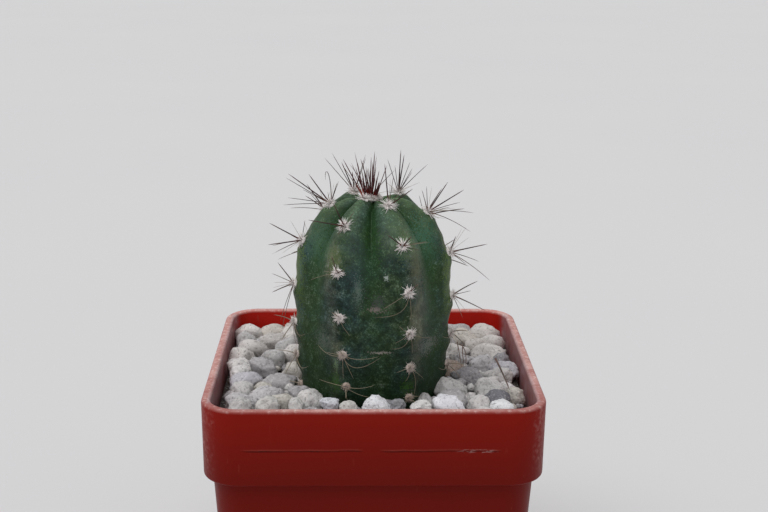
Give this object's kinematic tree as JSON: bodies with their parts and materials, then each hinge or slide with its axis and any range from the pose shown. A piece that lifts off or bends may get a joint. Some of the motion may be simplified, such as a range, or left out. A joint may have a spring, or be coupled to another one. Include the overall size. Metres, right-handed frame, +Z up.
{
  "type": "potted cactus",
  "caption": "Young ribbed columnar cactus with woolly, spiny areoles, standing in pale pumice gravel in a small square red plastic pot.",
  "frame": {"origin": "on the surface the pot stands on, under the middle of the pot", "axes": "+Z up along the plant's height, +Y to the back of the pot, +X to the right of a viewer facing its front"},
  "size_m": [0.055, 0.055, 0.0868],
  "materials": {
    "red_plastic": "satin",
    "compost": "matte",
    "pumice": "matte",
    "stem_skin": "satin",
    "young_spines": "satin",
    "areole_wool": "matte"
  },
  "bodies": {
    "root": {"pot": "red_plastic", "soil": "compost", "gravel": "pumice", "stem": "stem_skin", "crown": "young_spines", "areole_rib2_row1": "areole_wool", "areole_rib3_row1": "areole_wool", "areole_rib4_row1": "areole_wool", "areole_rib5_row1": "areole_wool", "areole_rib6_row1": "areole_wool", "areole_rib7_row1": "areole_wool", "areole_rib1_row2": "areole_wool", "areole_rib2_row2": "areole_wool", "areole_rib3_row2": "areole_wool", "areole_rib4_row2": "areole_wool", "areole_rib5_row2": "areole_wool", "areole_rib6_row2": "areole_wool", "areole_rib7_row2": "areole_wool", "areole_rib1_row3": "areole_wool", "areole_rib2_row3": "areole_wool", "areole_rib3_row3": "areole_wool", "areole_rib4_row3": "areole_wool", "areole_rib5_row3": "areole_wool", "areole_rib6_row3": "areole_wool", "areole_rib7_row3": "areole_wool", "areole_rib1_row4": "areole_wool", "areole_rib2_row4": "areole_wool", "areole_rib3_row4": "areole_wool", "areole_rib4_row4": "areole_wool", "areole_rib5_row4": "areole_wool", "areole_rib6_row4": "areole_wool", "areole_rib7_row4": "areole_wool", "areole_rib1_row5": "areole_wool", "areole_rib2_row5": "areole_wool", "areole_rib3_row5": "areole_wool", "areole_rib4_row5": "areole_wool", "areole_rib5_row5": "areole_wool", "areole_rib6_row5": "areole_wool", "areole_rib7_row5": "areole_wool", "areole_rib1_row6": "areole_wool", "areole_rib2_row6": "areole_wool", "areole_rib4_row6": "areole_wool", "areole_rib6_row6": "areole_wool", "areole_rib7_row6": "areole_wool"}
  },
  "joints": []
}
